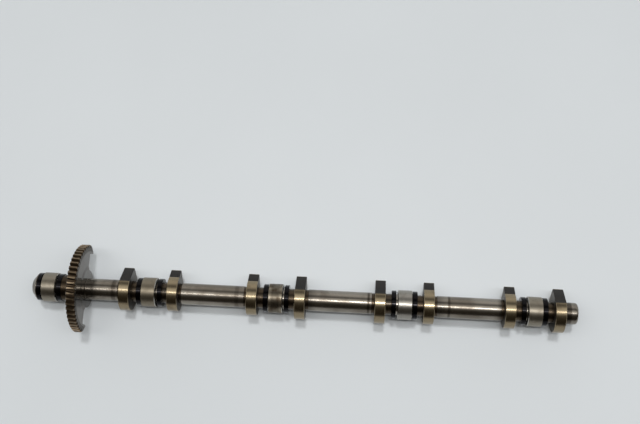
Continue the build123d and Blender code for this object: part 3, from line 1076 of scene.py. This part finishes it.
class CAMSHAFT_OT_sleeves(bpy.types.Operator):
    """Make the split sleeves of the needle bearings"""

    bl_idname = "camshaft.sleeves"
    bl_label = "Bearing Sleeves"

    def execute(self, context):
        sizes, tones = context.scene.camshaft_bearings, context.scene.camshaft_finishes
        bare, straw = np.array(tones.sleeve_steel), np.array(tones.straw_steel)
        # the chamfers' finish: a painted highlight, lighter than the sleeves, for their bright rims
        painted_rim_finish = steel(
            "sleeve_rims", tones.rim_highlight_shade, roughness=(0.16, 0.22), marks=(4200, 45),
            stain=(400, 0.25, 0.40, 36.0),
        )
        for number, turn in enumerate(BEARING_TURN, 1):
            coverage, strength, tint, roughness, track = SLEEVE_OIL[number - 1]
            middle = bearing_middle(number)
            satin = steel(
                f"sleeve_{number}_steel", bare * (1 - tint) + straw * tint,
                roughness=(roughness, roughness + 0.10), marks=(4200, 45),
                stain=(230, coverage, strength, 30.0 + number),
                rings=((middle / MM, *TRACK, track),),
            )
            for half in ("upper", "lower"):
                surface = sleeve_surface(sizes, middle, turn, half == "upper")
                add_piece(
                    f"bearing_{number}_{half}_sleeve", surface, [satin, painted_rim_finish],
                    f"bearing_{number}_shell", "shell_steel", f"bearing_{number}_{half}_shell",
                )
        return {"FINISHED"}


class CAMSHAFT_OT_bearing_insides(bpy.types.Operator):
    """Turn the needles and give the moulded cages their finish"""

    bl_idname = "camshaft.bearing_insides"
    bl_label = "Needles and Cages"

    def execute(self, context):
        sizes, tones = context.scene.camshaft_bearings, context.scene.camshaft_finishes
        rolled = steel(
            "needle_finish", tones.needle_steel, roughness=(0.10, 0.16), marks=(9000, 200),
            stain=(200, 0.15, 0.20, 41.0),
        )
        moulded = steel(
            "cage_moulding", tones.cage_plastic, roughness=(0.38, 0.50), marks=(1500, 1500),
            stain=(180, 0.25, 0.30, 42.0), metallic=0.0,
        )
        for number, turn in enumerate(BEARING_TURN, 1):
            surface = needle_ring(sizes, bearing_middle(number), turn)
            add_piece(
                f"bearing_{number}_needle_ring", surface, [rolled], f"bearing_{number}_cage",
                "needle_steel", f"bearing_{number}_needles",
            )
            for half in ("upper", "lower"):
                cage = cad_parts[f"bearing_{number}_{half}_cage"]
                for place in cage.material_slots:
                    place.material = moulded
        return {"FINISHED"}


# -------------------------------------------------------------------------------- stage

TABLE_REACH = 12.0  # from the middle of the table to its edges
TABLE_ROUGHNESS = 0.45
TABLE_CLOUD = {"Size": 6.0, "Coverage": 0.45, "Softness": 0.5}
CLOUD_GAINS = (0.985, 1.015)
TUBE_PLACE, TUBE_SIZE = (0.085, 1.7), (3.2, 0.10)  # place in Y and Z, over the middle
PANEL_X, PANEL_PLACE, PANEL_SIZE = 0.25, (0.085, 1.69), (0.40, 0.12)
WINDOW_SPREAD = radians(7)
SENSOR_WIDTH = 36.0  # in millimetres, as focal lengths are given

# the room: angle from overhead towards +Y in degrees, and the light from there
ROOM_RAMP = (
    (-180, (0.50, 0.50, 0.50)),
    (-85, (0.52, 0.52, 0.52)),
    (-79, (0.13, 0.13, 0.13)),
    (-68, (0.034, 0.029, 0.022)),
    (-40, (0.050, 0.044, 0.034)),
    (-18, (0.110, 0.105, 0.095)),
    (-6, (0.60, 0.60, 0.59)),
    (10, (1.05, 1.05, 1.03)),
    (25, (0.85, 0.85, 0.83)),
    (33, (0.32, 0.32, 0.31)),
    (44, (0.13, 0.13, 0.13)),
    (58, (0.55, 0.55, 0.54)),
    (68, (0.78, 0.78, 0.77)),
    (90, (0.72, 0.72, 0.72)),
    (180, (0.50, 0.50, 0.50)),
)


def table_top(shade, level):
    """The table: a plain sheet at the height the shaft rests at, and its satin finish."""
    material, tree, surface = new_material("table_top")
    cloud = effect(tree, "patches", **TABLE_CLOUD)
    dark, light = (rgba(shade, gain) for gain in CLOUD_GAINS)
    tree.links.new(mix_colour(tree, cloud, dark, light), surface["Base Color"])
    surface["Roughness"].default_value = TABLE_ROUGHNESS
    signs = ((-1, -1), (1, -1), (1, 1), (-1, 1))
    corners = [(TABLE_REACH * x, TABLE_REACH * y, level) for x, y in signs]
    mesh = bpy.data.meshes.new("table")
    mesh.from_pydata(corners, [], [(0, 1, 2, 3)])
    mesh.materials.append(material)
    new_object("table", mesh)


def lamp(name, x, place, size, share):
    """A rectangular lamp over x that faces the table there and lights it by a share.

    A white surface that gets a share of 1 looks white: share = radiance x area x cos(angle
    at the surface) / (pi x distance^2), and the power is pi x area x radiance. The solid
    angle of a lamp longer than its distance is smaller by atan(h) / h, h its half length
    over the distance."""
    place = Vector((x, *place))
    reach = Vector((x, 0, cad_low.z)) - place
    half = size[0] / 2 / reach.length
    fall = -reach.normalized().z * atan(half) / half
    light = bpy.data.lights.new(name, "AREA")
    light.shape = "RECTANGLE"
    light.size, light.size_y = size
    light.energy = pi**2 * reach.length_squared * share / fall
    made = new_object(name, light)
    made.location = place
    made.rotation_euler = (atan2(reach.y, -reach.z), 0, 0)


def window(share, turned):
    """Parallel light from a high window, turned from overhead towards +Y.

    It lights the table and the painted parts; the bare steel mirrors the room instead."""
    light = bpy.data.lights.new("window", "SUN")
    light.angle = WINDOW_SPREAD
    light.energy = pi * share / cos(turned)
    made = new_object("window", light)
    made.rotation_euler = (-turned, 0, 0)
    made.visible_glossy = False


def room_light(level):
    """The room as a ramp over the direction's angle from overhead, in the plane across the
    shaft: dark on the near side, a lamp's dim surround overhead, mid grey on the far side."""
    world = bpy.data.worlds.new("room")
    bpy.context.scene.world = world
    world.use_nodes = True
    tree = world.node_tree
    background = tree.nodes["Background"].inputs
    place = node(tree, "TexCoord", {}).outputs["Generated"]
    parts = node(tree, "SeparateXYZ", {0: place}).outputs
    around = maths(tree, "ARCTAN2", parts["Y"], parts["Z"])
    turn = {"Value": around, "From Min": -pi, "From Max": pi}
    share = node(tree, "MapRange", turn).outputs["Result"]
    ramp = node(tree, "ValToRGB", {"Fac": share})
    elements = ramp.color_ramp.elements
    while len(elements) < len(ROOM_RAMP):
        elements.new(0.5)
    for element, (turned, light) in zip(elements, ROOM_RAMP):
        element.position = 0.5 + turned / 360
        element.color = rgba(light)
    tree.links.new(ramp.outputs["Color"], background["Color"])
    background["Strength"].default_value = level


def place_camera(stage):
    """The camera, turned about X, then Y, then Z, and moved to its place."""
    data = bpy.data.cameras.new("camera")
    data.lens, data.sensor_width = stage.focal_length, SENSOR_WIDTH
    camera = new_object("camera", data)
    about_x, about_y, about_z = (
        Matrix.Rotation(turn, 4, axis) for turn, axis in zip(stage.camera_turn, "XYZ")
    )
    camera.matrix_world = Matrix.Translation(stage.camera_place) @ about_z @ about_y @ about_x
    bpy.context.scene.camera = camera


class CAMSHAFT_OT_stage(bpy.types.Operator):
    """Lay out the table, the lamps, the room and the camera"""

    bl_idname = "camshaft.stage"
    bl_label = "Table, Light and Camera"

    def execute(self, context):
        stage = context.scene.camshaft_stage
        table_top(context.scene.camshaft_finishes.table, cad_low.z)
        lamp("tube", (cad_low.x + cad_high.x) / 2, TUBE_PLACE, TUBE_SIZE, stage.tube_light)
        lamp("panel", PANEL_X, PANEL_PLACE, PANEL_SIZE, stage.panel_light)
        window(stage.window_light, stage.window_height)
        room_light(stage.sky_level)
        place_camera(stage)
        context.scene.view_settings.view_transform = "Standard"
        return {"FINISHED"}


# ------------------------------------------------------------------------------- add-on

OPERATORS = (
    CAMSHAFT_OT_turned_shaft,
    CAMSHAFT_OT_cams,
    CAMSHAFT_OT_worm_wheel,
    CAMSHAFT_OT_sleeves,
    CAMSHAFT_OT_bearing_insides,
    CAMSHAFT_OT_stage,
)


class CAMSHAFT_PT_panel(bpy.types.Panel):
    """Sidebar panel with one button for each group of pieces"""

    bl_idname = "CAMSHAFT_PT_panel"
    bl_label = "Camshaft"
    bl_space_type = "VIEW_3D"
    bl_region_type = "UI"
    bl_category = "Camshaft"

    def draw(self, context):
        for operator in OPERATORS:
            self.layout.operator(operator.bl_idname)


def register():
    """Register the property groups, the operators and the panel."""
    for name, group in GROUPS.items():
        bpy.utils.register_class(group)
        setattr(bpy.types.Scene, name, PointerProperty(type=group))
    for entry in (*OPERATORS, CAMSHAFT_PT_panel):
        bpy.utils.register_class(entry)


def unregister():
    """Take everything back out, in reverse."""
    for entry in (CAMSHAFT_PT_panel, *reversed(OPERATORS)):
        bpy.utils.unregister_class(entry)
    for name, group in reversed(GROUPS.items()):
        delattr(bpy.types.Scene, name)
        bpy.utils.unregister_class(group)


def main():
    """Register the add-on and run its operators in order."""
    register()
    build_effects()
    bpy.ops.camshaft.turned_shaft()
    bpy.ops.camshaft.cams()
    bpy.ops.camshaft.worm_wheel()
    bpy.ops.camshaft.sleeves()
    bpy.ops.camshaft.bearing_insides()
    bpy.ops.camshaft.stage()


if __name__ == "__main__":
    main()
